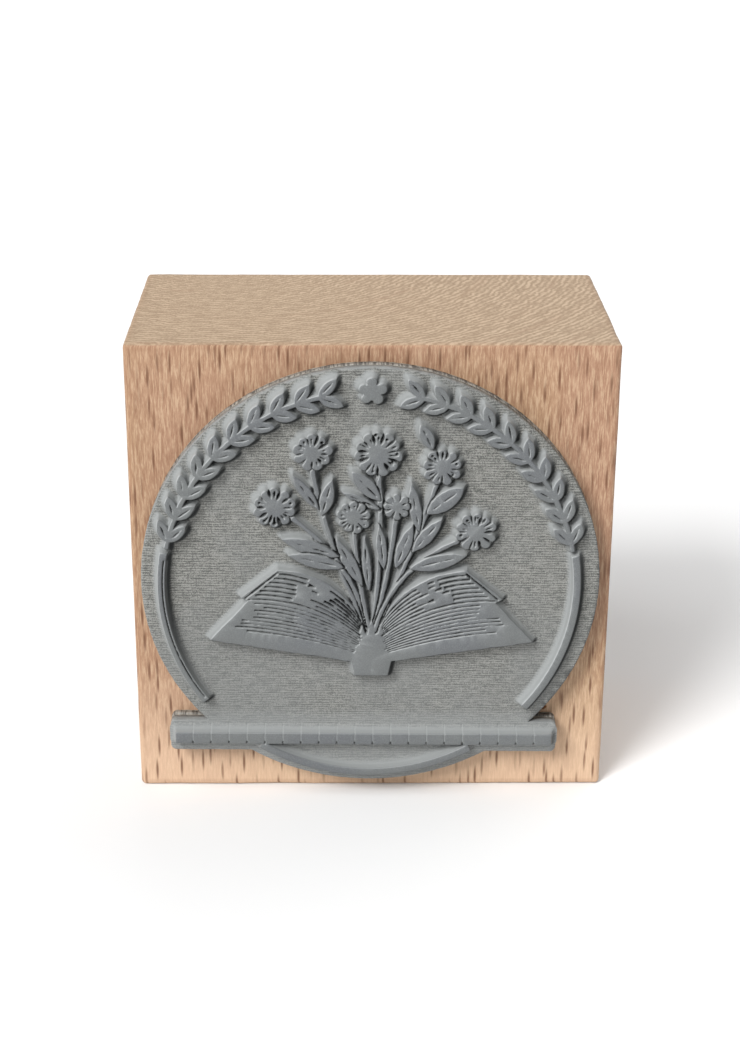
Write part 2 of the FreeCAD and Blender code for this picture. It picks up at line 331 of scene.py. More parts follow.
def outline_distance(x, z, outline):
    """Signed distance to a closed outline, positive inside."""
    nearest = np.full(x.shape, np.inf)
    inside = np.zeros(x.shape, bool)
    for (ax, az), (bx, bz) in zip(outline, np.roll(outline, -1, 0)):
        dx, dz = bx - ax, bz - az
        length2 = dx * dx + dz * dz
        if length2 == 0:
            continue
        along = np.clip(((x - ax) * dx + (z - az) * dz) / length2, 0, 1)
        nearest = np.minimum(nearest, (x - ax - along * dx) ** 2 + (z - az - along * dz) ** 2)
        if dz != 0:
            crosses = ((az <= z) & (z < bz)) | ((bz <= z) & (z < az))
            inside ^= crosses & (x < ax + (z - az) * dx / dz)
    return np.sqrt(nearest) * np.where(inside, 1, -1)


def wandering(size, pitch, random):
    """Smooth random values from -1 to 1 over a grid, uneven at the given pitch."""
    x, z = [np.arange(count) * GRID_PITCH / pitch for count in size]
    coarse = random.uniform(-1, 1, (int(x[-1]) + 2, int(z[-1]) + 2))
    i, j = x.astype(int), z.astype(int)
    fx, fz = (x - i)[:, None], (z - j)[None, :]
    low = coarse[np.ix_(i, j)] * (1 - fx) + coarse[np.ix_(i + 1, j)] * fx
    high = coarse[np.ix_(i, j + 1)] * (1 - fx) + coarse[np.ix_(i + 1, j + 1)] * fx
    return low * (1 - fz) + high * fz


# ---- artwork
def draw_ring(art):
    for span in RING_SPANS_DEG:
        art.add(ring_band(RING_MEAN_RADIUS, span, RING_WIDTH))
    art.cut(ring_band(*RING_GROOVE))


def seam_positions():
    pitch = (NAME_LINE_RIGHT - NAME_LINE_LEFT + DASH_GAP) / DASH_COUNT
    return NAME_LINE_LEFT - DASH_GAP / 2 + pitch * np.arange(1, DASH_COUNT)


def draw_name_line(art):
    art.add(rectangle(NAME_LINE_LEFT, NAME_LINE_BOTTOM, NAME_LINE_RIGHT, NAME_LINE_TOP))
    for seam in seam_positions():
        left, right = seam - NICK_HALF_WIDTH, seam + NICK_HALF_WIDTH
        art.cut(rectangle(left, NAME_LINE_BOTTOM - 0.1, right, NAME_LINE_BOTTOM + NICK_HEIGHT))


def seam_share(points):
    """1 on the middle of a seam between two dashes, falling to 0 at its sides."""
    x, z = np.asarray(points).T
    across = np.abs(x[:, None] - seam_positions()).min(1)
    beside = np.clip(1 - across / SEAM_HALF_WIDTH, 0, 1)
    low, high = NAME_LINE_BOTTOM + NICK_HEIGHT, NAME_LINE_TOP + SEAM_ABOVE
    return beside * ((z > low - 0.01) & (z < high + 0.01))


def seam_columns():
    """Columns of points down the middle and sides of each seam."""
    z = np.linspace(NAME_LINE_BOTTOM + NICK_HEIGHT, NAME_LINE_TOP + SEAM_ABOVE, 9)
    offsets = SEAM_HALF_WIDTH * np.array((-1.6, -1, 0, 1, 1.6))
    x = (seam_positions()[:, None] + np.array(offsets)).ravel()
    return [np.stack([np.full(len(z), position), z], 1) for position in x]


def draw_veins(art, base, tip, random):
    """A leaf's midrib, broken where the laser missed."""
    split = random.uniform(0.38, 0.55)
    width = LEAF_VEIN_WIDTH * random.uniform(0.9, 1.5)
    art.cut(leaf(between(base, tip, VEIN_START - 0.06), between(base, tip, split), width))
    art.cut(leaf(between(base, tip, split + 0.05), between(base, tip, VEIN_END), width * 0.8))


def draw_garland_branch(art, turn):
    start = 90 + turn * (GARLAND_START_DEG - 90)
    step = -turn * GARLAND_STEP_DEG
    stem_turns = (-GARLAND_STEM_FOOT, GARLAND_PAIRS / 2, GARLAND_PAIRS - 1 + GARLAND_STEM_FOOT)
    stem = [polar(RING_CENTRE, GARLAND_RADIUS, start + turns * step) for turns in stem_turns]
    art.add(stroke(*stem, GARLAND_STEM_WIDTH, GARLAND_STEM_WIDTH))
    for index in range(GARLAND_PAIRS):
        angle = start + index * step
        base = polar(RING_CENTRE, GARLAND_RADIUS, angle)
        for spread in (GARLAND_LEAF_SPREAD_DEG, -GARLAND_LEAF_SPREAD_DEG):
            tip = polar(base, GARLAND_LEAF_LENGTH, angle - turn * 90 + spread)
            art.add(leaf(base, tip, GARLAND_LEAF_WIDTH))
            art.cut(vein(base, tip))


def flower_discs(x, z, radius, petals, random):
    """Scalloped flower head: uneven round petals about a disc."""
    petal_ring = PETAL_RING * radius
    petal_radius = PETAL_OVERLAP * petal_ring * math.sin(math.pi / petals)
    discs = [((x, z), petal_ring)]
    for index in range(petals):
        angle = 90 + index * 360 / petals + random.uniform(-4, 4)
        reach = petal_ring * random.uniform(0.97, 1.1)
        discs.append((polar((x, z), reach, angle), petal_radius * random.uniform(0.82, 1.0)))
    return discs


def draw_flower(art, x, z, radius, petals, random):
    """Petals parted by clefts, some open to the outside, with folds along the petals."""
    art.paint(flower_discs(x, z, radius, petals, random))

    def slit(start, end, angle, width):
        start, end = polar((x, z), start * radius, angle), polar((x, z), end * radius, angle)
        art.cut(leaf(start, end, width * SLIT_WIDTH * radius))

    for index in range(petals):
        angle = 90 + index * 360 / petals
        cleft_end = random.choice((0.78, 0.9, 1.08))
        slit(random.uniform(0.3, 0.42), cleft_end, angle + 180 / petals, random.uniform(1.1, 2.1))
        if random.random() < 0.6:
            fold = angle + random.uniform(-5, 5)
            slit(random.uniform(0.38, 0.5), random.uniform(0.64, 0.8), fold, random.uniform(0.7, 1.2))
        if random.random() < 0.3:
            hole = polar((x, z), random.uniform(0.6, 0.72) * radius, angle + random.uniform(-8, 8))
            art.cut([(hole, random.uniform(0.05, 0.08) * radius)])


def book_outline(side):
    foot = (SPINE_FOOT_HALF_WIDTH, SPINE_BOTTOM)
    shoulder = (SPINE_HALF_WIDTH, SPINE_TOP)
    corners = [(0.0, SPINE_BOTTOM), foot, shoulder, PAGE_TIP, PAGE_STEP_INNER, PAGE_STEP_OUTER]
    top = arc_points(*reversed(TOP_EDGE))[0]
    points = corners + [tuple(p) for p in top] + [(0.0, GUTTER_TOP)]
    return np.array([side(p) for p in points])


def draw_book_half(art, side, random):
    art.add(book_outline(side))
    edges = (LOWER_EDGE, SPLIT_EDGE, TOP_EDGE, COVER_GROOVE)
    lower, split, top, cover = [[side(p) for p in edge] for edge in edges]

    def page_line(under, over, fraction, start, end, first_width, last_width):
        path = [between(p, q, fraction) for p, q in zip(under, over)]
        art.cut(stroke(*path, first_width, last_width, start, end))

    page_line(cover, cover, 0, 0, 1, 0.26, 0.26)
    page_line(split, split, 0, *SPLIT_SPAN, 0.24, 0.2)
    for index in range(LOWER_LINES):
        fraction = LOWER_FIRST + (LOWER_LAST - LOWER_FIRST) * index / (LOWER_LINES - 1)
        first, last = random.uniform(0.04, 0.07), random.uniform(0.76, 0.93)
        page_line(lower, split, fraction, first, last, 0.13, random.uniform(0.13, 0.21))
    for index in range(UPPER_LINES):
        fraction = (index + 1) / (UPPER_LINES + 1)
        inner_end, outer_start = random.uniform(0.42, 0.58), random.uniform(0.66, 0.74)
        page_line(split, top, fraction, 0.08, inner_end, 0.18, 0.26)
        page_line(split, top, fraction, outer_start, 0.95, 0.28, 0.22)
        if random.random() < 0.5:
            blot = random.uniform(inner_end, outer_start - 0.06)
            page_line(split, top, fraction, blot, blot + 0.06, 0.2, random.uniform(0.3, 0.45))
    drop = [(x, z - COVER_EDGE_DROP) for x, z in lower]
    art.add(stroke(*drop, COVER_EDGE_WIDTH, COVER_EDGE_WIDTH, 0.1, random.uniform(0.5, 0.65)))


def draw_bouquet(art, random):
    for (foot_x, _), way, head in STEMS:
        art.paint(stroke((foot_x * STEM_FOOT_SPREAD, STEM_FOOT_Z), way, head, STEM_FOOT_WIDTH, STEM_HEAD_WIDTH))
    for base, tip, width in LEAVES + (BUD,):
        art.paint(leaf(base, tip, width))
        draw_veins(art, base, tip, random)
    art.add(np.array(list(SPINE_FLARE) + [mirrored(p) for p in SPINE_FLARE[-2::-1]]))
    for flower in FLOWERS:
        draw_flower(art, *flower, random)


def artwork():
    margin = 1.0
    random = np.random.default_rng(5)
    art = Relief((-25 - margin, -margin), (25 + margin, 50 + margin))
    for turn in (1, -1):
        draw_garland_branch(art, turn)
    art.add(flower_discs(*polar(RING_CENTRE, GARLAND_RADIUS, 90), *GARLAND_BLOSSOM, random))
    for side in (as_drawn, mirrored):
        draw_book_half(art, side, random)
    draw_bouquet(art, random)
    for pitch, depth in WANDER:
        art.value += depth * wandering(art.size, pitch, random)
    draw_ring(art)
    draw_name_line(art)
    return art


def painted_shading_grid(art):
    """Painted shading: up to 1 (painted shade) in narrow grooves and along the lower right of what is
    raised, down to -1 (painted highlight) on the upper left edges, 0 in the open."""
    painted_dark = facing(art, PAINTED_SHADE_REACH) * np.interp(art.value, (-0.7, -0.35, -0.1, -0.01), (0, 1, 1, 0))
    painted_lit_edge = facing(art, -PAINTED_HIGHLIGHT_REACH) * np.interp(art.value, (-0.08, -0.01, 0.03, 0.08), (0, 1, 1, 0))
    return np.maximum(narrow_grooves(art), 0.9 * painted_dark) - 0.8 * painted_lit_edge


def facing(art, reach):
    """1 where the surface falls straight to the lower right, or to the upper left if reach
    is negative, 0 where it is level or falls the other way."""
    v = np.clip(art.value, -FAR, 0.3)
    across, up = round(reach * 0.62 / GRID_PITCH), round(reach * 0.78 / GRID_PITCH)
    return np.clip((np.roll(v, (across, -up), (0, 1)) - v) / abs(reach) - 0.15, 0, 0.55) / 0.55


def narrow_grooves(art):
    """1 inside grooves with raised rubber close on both sides, 0 elsewhere."""
    deepest = art.value
    for axis in (0, 1):
        shifts = range(-NARROW_CELLS, NARROW_CELLS + 1)
        deepest = np.minimum.reduce([np.roll(deepest, shift, axis) for shift in shifts])
    narrow = np.clip((deepest + 0.42) / 0.2, 0, 1)
    return narrow * np.clip(-art.value / 0.06, 0, 1)


# ---- level lines of the grid
# for each pattern of inside corners of a cell, the pairs of cell sides that the line joins;
# corners 0..3 are (i, j), (i+1, j), (i+1, j+1), (i, j+1); side k runs from corner k to k+1
CELL_LINES = {
    1: ((3, 0),), 2: ((0, 1),), 3: ((3, 1),), 4: ((1, 2),), 5: ((3, 2), (1, 0)),
    6: ((0, 2),), 7: ((3, 2),), 8: ((2, 3),), 9: ((2, 0),), 10: ((0, 3), (2, 1)),
    11: ((2, 1),), 12: ((1, 3),), 13: ((1, 0),), 14: ((0, 3),),
}


def level_loops(art, level):
    """Closed loops of points where the grid's value equals level."""
    v = art.value - level
    width, height = v.shape
    inside = v > 0
    pattern = (inside[:-1, :-1] * 1 + inside[1:, :-1] * 2 + inside[1:, 1:] * 4 + inside[:-1, 1:] * 8)
    following = {}
    for kind, pairs in CELL_LINES.items():
        i, j = np.nonzero(pattern == kind)
        # each cell side has a number: sides along x first, then sides along z
        sides = (i * height + j, width * height + (i + 1) * height + j,
                 i * height + j + 1, width * height + i * height + j)
        for start, end in pairs:
            following.update(zip(sides[start].tolist(), sides[end].tolist()))
    loops = []
    while following:
        first, side = following.popitem()
        loop = [first]
        while side != first:
            loop.append(side)
            side = following.pop(side)
        loops.append(side_points(art, v, np.array(loop)))
    return loops


def side_points(art, v, numbers):
    """Where the line crosses each numbered cell side."""
    width, height = v.shape
    along_z = numbers >= width * height
    i, j = np.divmod(numbers - along_z * width * height, height)
    other = v[i + ~along_z, j + along_z]
    here = v[i, j]
    fraction = here / (here - other)
    x = art.low[0] + GRID_PITCH * (i + np.where(along_z, 0, fraction))
    z = art.low[1] + GRID_PITCH * (j + np.where(along_z, fraction, 0))
    return np.stack([x, z], 1)


def simplified(loop):
    """The loop with only the points it needs to keep within LINE_TOLERANCE and LONGEST_STEP."""
    count = len(loop)
    if count < 8:
        return loop
    far = int(np.argmax(np.hypot(*(loop - loop[0]).T)))
    closed = np.concatenate([loop, loop[:1]])
    keep = np.zeros(count + 1, bool)
    keep[[0, far]] = True
    spans = [(0, far), (far, count)]
    while spans:
        a, b = spans.pop()
        if b - a < 2:
            continue
        chord = closed[b] - closed[a]
        inner = closed[a + 1:b] - closed[a]
        length = np.hypot(*chord)
        away = np.abs(inner[:, 0] * chord[1] - inner[:, 1] * chord[0]) / max(length, 1e-9)
        if length < 1e-9:
            away = np.hypot(*inner.T)
        worst = int(np.argmax(away))
        if length > LONGEST_STEP and away[worst] <= LINE_TOLERANCE:
            worst = (b - a) // 2 - 1
        if away[worst] > LINE_TOLERANCE or length > LONGEST_STEP:
            keep[a + 1 + worst] = True
            spans += [(a, a + 1 + worst), (a + 1 + worst, b)]
    return loop[keep[:-1]]


# ---- meshes
def new_mesh(name, vertices, faces, material, smooth=True):
    """A mesh object from millimetre vertices; place_piece sets it on the stamp's one body."""
    mesh = bpy.data.meshes.new(name)
    mesh.from_pydata((np.asarray(vertices) * MM).tolist(), [], faces)
    mesh.validate()
    mesh.shade_smooth() if smooth else mesh.shade_flat()
    mesh.materials.append(material)
    piece = bpy.data.objects.new(name, mesh)
    bpy.context.scene.collection.objects.link(piece)
    return piece


def mark(piece, name, values):
    """Stores a number on each vertex, for the piece's material."""
    layer = piece.data.attributes.new(name, "FLOAT", "POINT")
    layer.data.foreach_set("value", values)


def tilted(points):
    """Turned about the oval's centre, as the die is glued a little off square."""
    angle = math.radians(-DIE_TILT_DEG)
    turn = np.array([[math.cos(angle), -math.sin(angle)], [math.sin(angle), math.cos(angle)]])
    return (np.asarray(points) - OVAL_CENTRE) @ turn.T + OVAL_CENTRE


def cut_outline(step):
    """The die's outline, anticlockwise: an oval with a crossbar."""
    low = (-27, -1)
    outline = Relief(low, (27, 51))
    place, x, z = outline.window(np.array(low), np.array((27, 51)))
    oval = np.hypot((x - OVAL_CENTRE[0]) / OVAL_HALF_WIDTH, (z - OVAL_CENTRE[1]) / OVAL_HALF_HEIGHT)
    outline.value[place] = (1 - oval) * OVAL_HALF_HEIGHT
    r = CROSSBAR_CORNER_RADIUS
    cx, cz = (CROSSBAR_LEFT + CROSSBAR_RIGHT) / 2, (CROSSBAR_BOTTOM + CROSSBAR_TOP) / 2
    dx = np.abs(x - cx) - (CROSSBAR_RIGHT - CROSSBAR_LEFT) / 2 + r
    dz = np.abs(z - cz) - (CROSSBAR_TOP - CROSSBAR_BOTTOM) / 2 + r
    bar = r - np.hypot(np.maximum(dx, 0), np.maximum(dz, 0)) - np.minimum(np.maximum(dx, dz), 0)
    outline.value[place] = np.maximum(outline.value[place], bar)
    loop = max(level_loops(outline, 0.0), key=len)
    spacing = np.hypot(*(np.roll(loop, -1, 0) - loop).T)
    travelled = np.concatenate([[0], np.cumsum(spacing)])
    closed = np.concatenate([loop, loop[:1]])
    stations = np.linspace(0, travelled[-1], int(travelled[-1] / step), endpoint=False)
    points = np.stack([np.interp(stations, travelled, closed[:, k]) for k in (0, 1)], 1)
    area = np.sum(points[:, 0] * np.roll(points[:, 1], -1) - points[:, 1] * np.roll(points[:, 0], -1))
    return points if area > 0 else points[::-1]


def outward_normals(loop):
    along = np.roll(loop, -1, 0) - np.roll(loop, 1, 0)
    normals = np.stack([along[:, 1], -along[:, 0]], 1)
    return normals / np.hypot(*normals.T)[:, None]


def frayed(loop, depth, seed):
    """The loop moved in and out at random along its normals, by up to depth."""
    random = np.random.default_rng(seed)
    jitter = random.uniform(-1, 1, len(loop))
    jitter = (jitter + 0.5 * np.roll(jitter, 1)) / 1.5
    return loop + outward_normals(loop) * (jitter * depth)[:, None]


def walls(rings, y_levels, first_index):
    """Vertices and quads that join rings of points at successive y levels."""
    count = len(rings[0])
    vertices = []
    for ring, y in zip(rings, y_levels):
        vertices += [(x, y, z) for x, z in ring]
    faces = []
    for level in range(len(rings) - 1):
        a = first_index + level * count
        for k in range(count):
            n = (k + 1) % count
            faces.append((a + k, a + count + k, a + count + n, a + n))
    return vertices, faces


def filled(loop):
    """Triangles that fill a closed loop, as indices of its points."""
    count = len(loop)
    edges = [(k, (k + 1) % count) for k in range(count)]
    result = delaunay_2d_cdt([Vector(p) for p in loop], edges, [list(range(count))], 1, 1e-7)
    origin = [ids[0] for ids in result[3]]
    return [tuple(origin[k] for k in face) for face in result[2]]


def layer_piece(name, outline, back_y, front_y, fray, seed, material):
    """A flat glued layer with a cut edge."""
    front = tilted(frayed(outline, fray, seed))
    middle = tilted(frayed(outline, fray, seed + 1))
    back = tilted(frayed(outline, fray, seed + 2))
    rings = [front, (front + middle) / 2, back]
    vertices, faces = walls(rings, [front_y, (front_y + back_y) / 2, back_y], 0)
    count = len(outline)
    faces += filled(front)
    faces += [tuple(2 * count + k for k in reversed(face)) for face in filled(back)]
    return new_mesh(name, vertices, faces, material)


def shoulder_height(distance):
    """Height relative to the print face, from a signed distance."""
    away, depth = zip(*SHOULDER)
    return -np.interp(-np.asarray(distance), away, depth)


def engraved_surface(art, outline):
    """Vertices (x, height, z), triangles, outline vertices and painted shading (painted shade and painted
    highlight) of the die's front.
    """
    points = [outline]
    heights = [shoulder_height(art.sample(outline))]
    edges = [(k, (k + 1) % len(outline)) for k in range(len(outline))]
    total = len(outline)
    for away, depth in SHOULDER:
        for loop in level_loops(art, -away):
            loop = simplified(loop)
            if len(loop) < 3:
                continue
            points.append(loop)
            heights.append(np.full(len(loop), -depth))
            edges += [(total + k, total + (k + 1) % len(loop)) for k in range(len(loop))]
            total += len(loop)
    for column in seam_columns():
        points.append(column)
        heights.append(shoulder_height(art.sample(column)))
        edges += [(total + k, total + k + 1) for k in range(len(column) - 1)]
        total += len(column)
    for extra, height in (valley_points(art), floor_points(art)):
        points.append(extra)
        heights.append(height)
    points = np.concatenate(points)
    heights = np.concatenate(heights)
    face = [list(range(len(outline)))]
    result = delaunay_2d_cdt([Vector(p) for p in points], edges, face, 1, 1e-6)
    flat = np.array([tuple(v) for v in result[0]])
    height = shoulder_height(art.sample(flat))
    front_edge = {}
    for index, origins in enumerate(result[3]):
        if origins:
            height[index] = heights[origins[0]]
        front_edge.update((origin, index) for origin in origins if origin < len(outline))
    seam = seam_share(flat)
    # painted shading per vertex: painted shade and highlights, with the name line's seams painted pale as a
    # highlight
    painted_shading = art.sample(flat, painted_shading_grid(art)) - seam
    surface = np.stack([flat[:, 0], height - SEAM_DEPTH * seam, flat[:, 1]], 1)
    outline_vertices = [front_edge[k] for k in range(len(outline))]
    return surface, [tuple(f) for f in result[2]], outline_vertices, painted_shading


def valley_points(art):
    """Grid points along the bottoms of narrow grooves, and their heights."""
    v = art.value
    gx, gz = np.gradient(v, GRID_PITCH)
    slack = np.hypot(gx, gz) < 0.62
    deep = (v < -0.035) & (v > -0.6)
    i, j = np.nonzero(slack & deep)
    thin = (i + 2 * j) % 3 == 0
    i, j = i[thin], j[thin]
    points = art.low + GRID_PITCH * np.stack([i, j], 1)
    return points, shoulder_height(v[i, j])


def floor_points(art):
    """Scattered points on the engraved floor, with the slight waviness the laser leaves."""
    pitch = 0.7
    random = np.random.default_rng(7)
    x, z = np.meshgrid(np.arange(-24, 24, pitch), np.arange(1.5, 49, pitch))
    points = np.stack([x.ravel(), z.ravel()], 1) + random.uniform(-0.25, 0.25, (x.size, 2))
    points = points[art.sample(points) < -FAR * 0.9]
    wave = np.array([noise(Vector((px * 0.35, pz * 0.35, 3.1))) for px, pz in points])
    depth = SHOULDER[-1][1]
    return points, -depth + 0.03 * wave


def rubber_die(material):
    art = artwork()
    outline = cut_outline(0.2)
    inner = outline - outward_normals(outline) * 0.05
    surface, faces, front_edge, painted_shading = engraved_surface(art, inner)
    surface[:, [0, 2]] = tilted(surface[:, [0, 2]])
    vertices = surface.copy()
    vertices[:, 1] = PRINT_Y - surface[:, 1]
    first = len(vertices)
    edge_y = vertices[front_edge, 1]
    lip = tilted(frayed(outline, 0.02, 11))
    waist = tilted(frayed(outline, 0.03, 12))
    back = tilted(frayed(outline, 0.03, 13))
    count = len(outline)
    levels = (edge_y + 0.06, (edge_y + DIE_BACK_Y) / 2, np.full(count, DIE_BACK_Y))
    rings = [np.stack([ring[:, 0], y, ring[:, 1]], 1) for ring, y in zip((lip, waist, back), levels)]
    vertices = np.concatenate([vertices] + rings)
    chain = [front_edge] + [list(range(first + r * count, first + (r + 1) * count)) for r in range(3)]
    for near, far in zip(chain, chain[1:]):
        for k in range(count):
            n = (k + 1) % count
            faces.append((near[k], far[k], far[n], near[n]))
    faces += [tuple(chain[3][k] for k in reversed(face)) for face in filled(back)]
    die = new_mesh("rubber_die_engraved", vertices, faces, material)
    # painted shade and painted highlight per vertex, for the rubber's material
    mark(die, "painted_shading", np.concatenate([painted_shading, np.zeros(3 * count)]))
    return die


def edge_spaced(half, radius, lines):
    """Grid lines from -half to half, close together where the edges are rounded."""
    rounded = half - 1.6 * radius
    inner = np.linspace(-rounded, rounded, lines)
    outer = half - 1.6 * radius * np.array([0.75, 0.55, 0.38, 0.24, 0.12, 0.0])
    return np.concatenate([-outer[::-1], inner, outer])


def wood_block(material):
    """The block, with sanded edges whose radius wanders."""
    centre = np.array((BLOCK_LOW + BLOCK_HIGH) / 2)
    half = np.array((BLOCK_HIGH - BLOCK_LOW) / 2)
    radius = 0.7
    lines = [edge_spaced(h, radius, 36) for h in half]
    index = {}
    vertices = []
    faces = []

    def corner(key):
        if key not in index:
            index[key] = len(vertices)
            vertices.append(sanded(np.array([lines[axis][key[axis]] for axis in range(3)]), half))
        return index[key]

    for axis in range(3):
        u, w = [a for a in range(3) if a != axis]
        for end in (0, len(lines[axis]) - 1):
            for i in range(len(lines[u]) - 1):
                for j in range(len(lines[w]) - 1):
                    square = []
                    for di, dj in ((0, 0), (1, 0), (1, 1), (0, 1)):
                        key = [0, 0, 0]
                        key[axis], key[u], key[w] = end, i + di, j + dj
                        square.append(corner(tuple(key)))
                    outward = (end > 0) == (axis != 1)
                    faces.append(tuple(square if outward else reversed(square)))
    vertices = np.array(vertices)
    block = new_mesh("beech_block", vertices + centre, faces, material)
    rounded = np.count_nonzero(np.abs(vertices) > half - radius, axis=1) > 1
    mark(block, "edge", rounded.astype(float))
    return block


def sanded(q, half):
    """Moves a point of the sharp box onto the rounded one."""
    wander = noise(Vector(q * 0.16)) + 0.5 * noise(Vector(q * 0.6))
    radius = 0.5 + 0.2 * wander
    core = np.clip(q, -(half - radius), half - radius)
    out = q - core
    length = np.linalg.norm(out)
    if np.count_nonzero(np.abs(out) > 1e-9) < 2:
        return q
    return core + out / length * radius


# ---- materials; colours are 0-255 display values
RADIAL_TURN_DEG = 39      # turns the wood's ray direction onto Y, for the sides
PITH = (-17.0, 21.0)      # centre of the tree's rings on the ends, as (x, y), behind the block
ARC_RADIUS = 30.0         # where an arc length about the pith is true to size
WOOD_ROSY = (179, 141, 115)
WOOD_YELLOW = (177, 145, 112)
WOOD_PALE = (198, 167, 138)
WOOD_BROWN = (150, 112, 87)
WOOD_FLECK = (110, 73, 51)
# pale colour mixed in towards the bottom of the block: painted light against the die's shadow on the wood
WOOD_PAINTED_LIGHT = (232, 200, 170)
END_PALE = (201, 177, 150)
END_DARK = (156, 132, 107)
END_RING = (168, 139, 114)
SCORCH_BROWN = (128, 78, 40)
SCORCH_AT = (18.1, BLOCK_LOW.y, 9.5)
SCORCH_SIZE = (1.1, 1.0, 0.55)
FLOOR_PALE = (156, 156, 151)
FLOOR_DARK = (90, 91, 88)
SHOULDER_GREY = (132, 135, 135)
TOP_BLUE = (98, 101, 104)
TOP_GREY = (105, 108, 108)
PAINTED_SHADE_GREY = (54, 56, 56)
# grey of painted light on slopes facing the key light and on the low cut-away rubber
PAINTED_LIT_GREY = (156, 159, 159)
WEAK_SHADING_BELOW = 9.8        # height under which the rubber's painted shade and highlights are weaker and its cut-away parts are painted lighter
# black: the char of the wood's scorch mark, and painted shade on the rubber
CHAR_AND_PAINTED_SHADE = (16, 17, 18)
PAINTED_HIGHLIGHT = (190, 194, 194)


class Nodes:
    """A short way to write a node tree."""

    def __init__(self, name):
        self.material = bpy.data.materials.new(name)
        self.material.use_nodes = True
        self.tree = self.material.node_tree
        self.shader = self.tree.nodes["Principled BSDF"]
        self.place = self.node("ShaderNodeTexCoord").outputs["Object"]

    def node(self, kind, **settings):
        made = self.tree.nodes.new(kind)
        for key, value in settings.items():
            setattr(made, key, value)
        return made

    def link(self, source, target):
        if isinstance(source, bpy.types.NodeSocket):
            self.tree.links.new(source, target)
        else:
            target.default_value = source

    def math(self, operation, a, b=0.0, c=0.0):
        made = self.node("ShaderNodeMath", operation=operation)
        for source, target in zip((a, b, c), made.inputs):
            self.link(source, target)
        return made.outputs[0]

    def mapped(self, scale, rotation=(0, 0, 0)):
        """Object coordinates in millimetres, turned, then scaled along the turned axes."""
        turned = self.node("ShaderNodeMapping", vector_type="POINT")
        self.link(self.place, turned.inputs["Vector"])
        turned.inputs["Scale"].default_value = (1 / MM,) * 3
        turned.inputs["Rotation"].default_value = [math.radians(a) for a in rotation]
        return self.stretched(turned.outputs[0], scale)

    def stretched(self, vector, scale):
        made = self.node("ShaderNodeMapping", vector_type="POINT")
        self.link(vector, made.inputs["Vector"])
        made.inputs["Scale"].default_value = scale
        return made.outputs[0]

    def tree_place(self):
        """Millimetres along a ring, out from the pith, and up the trunk."""
        moved = self.node("ShaderNodeMapping", vector_type="POINT")
        self.link(self.place, moved.inputs["Vector"])
        moved.inputs["Scale"].default_value = (1 / MM,) * 3
        moved.inputs["Location"].default_value = (-PITH[0], -PITH[1], 0)
        split = self.node("ShaderNodeSeparateXYZ")
        self.link(moved.outputs[0], split.inputs[0])
        x, y, z = split.outputs
        squares = self.math("ADD", self.math("MULTIPLY", x, x), self.math("MULTIPLY", y, y))
        turn = self.math("ARCTAN2", x, self.math("MULTIPLY", y, -1.0))
        joined = self.node("ShaderNodeCombineXYZ")
        self.link(self.math("MULTIPLY", turn, ARC_RADIUS), joined.inputs["X"])
        self.link(self.math("SQRT", squares), joined.inputs["Y"])
        self.link(z, joined.inputs["Z"])
        return joined.outputs[0]

    def waves(self, vector, distortion, axis="X"):
        """Wandering parallel lines, about 0.31 apart."""
        made = self.node("ShaderNodeTexWave", bands_direction=axis)
        self.link(vector, made.inputs["Vector"])
        made.inputs["Scale"].default_value = 1.0
        made.inputs["Distortion"].default_value = distortion
        made.inputs["Detail"].default_value = 2.0
        made.inputs["Detail Scale"].default_value = 1.5
        return made.outputs["Fac"]

    def noise(self, vector, detail=2.0, roughness=0.5, distortion=0.0):
        made = self.node("ShaderNodeTexNoise")
        self.link(vector, made.inputs["Vector"])
        made.inputs["Scale"].default_value = 1.0
        made.inputs["Detail"].default_value = detail
        made.inputs["Roughness"].default_value = roughness
        made.inputs["Distortion"].default_value = distortion
        return made.outputs["Fac"]

    def cells(self, vector, flat=False):
        """Distance to the nearest of scattered points, or of lines along Y if flat."""
        made = self.node("ShaderNodeTexVoronoi")
        if flat:
            split = self.node("ShaderNodeSeparateXYZ")
            joined = self.node("ShaderNodeCombineXYZ")
            self.link(vector, split.inputs[0])
            self.link(split.outputs["X"], joined.inputs["X"])
            self.link(split.outputs["Z"], joined.inputs["Y"])
            vector = joined.outputs[0]
            made.voronoi_dimensions = "2D"
        self.link(vector, made.inputs["Vector"])
        made.inputs["Scale"].default_value = 1.0
        return made.outputs["Distance"]

    def ranged(self, value, low, high, to_low=0.0, to_high=1.0):
        made = self.node("ShaderNodeMapRange", interpolation_type="SMOOTHSTEP")
        self.link(value, made.inputs["Value"])
        made.inputs["From Min"].default_value = low
        made.inputs["From Max"].default_value = high
        made.inputs["To Min"].default_value = to_low
        made.inputs["To Max"].default_value = to_high
        return made.outputs["Result"]

    def mix(self, factor, a, b, blend="MIX"):
        made = self.node("ShaderNodeMix", data_type="RGBA", blend_type=blend)
        self.link(factor, made.inputs["Factor"])
        self.link(a, made.inputs[6])
        self.link(b, made.inputs[7])
        return made.outputs[2]

    def position(self, axis):
        split = self.node("ShaderNodeSeparateXYZ")
        self.link(self.place, split.inputs[0])
        return split.outputs[axis]

    def normal(self):
        """The surface normal's three components."""
        split = self.node("ShaderNodeSeparateXYZ")
        self.link(self.node("ShaderNodeTexCoord").outputs["Normal"], split.inputs[0])
        return split.outputs

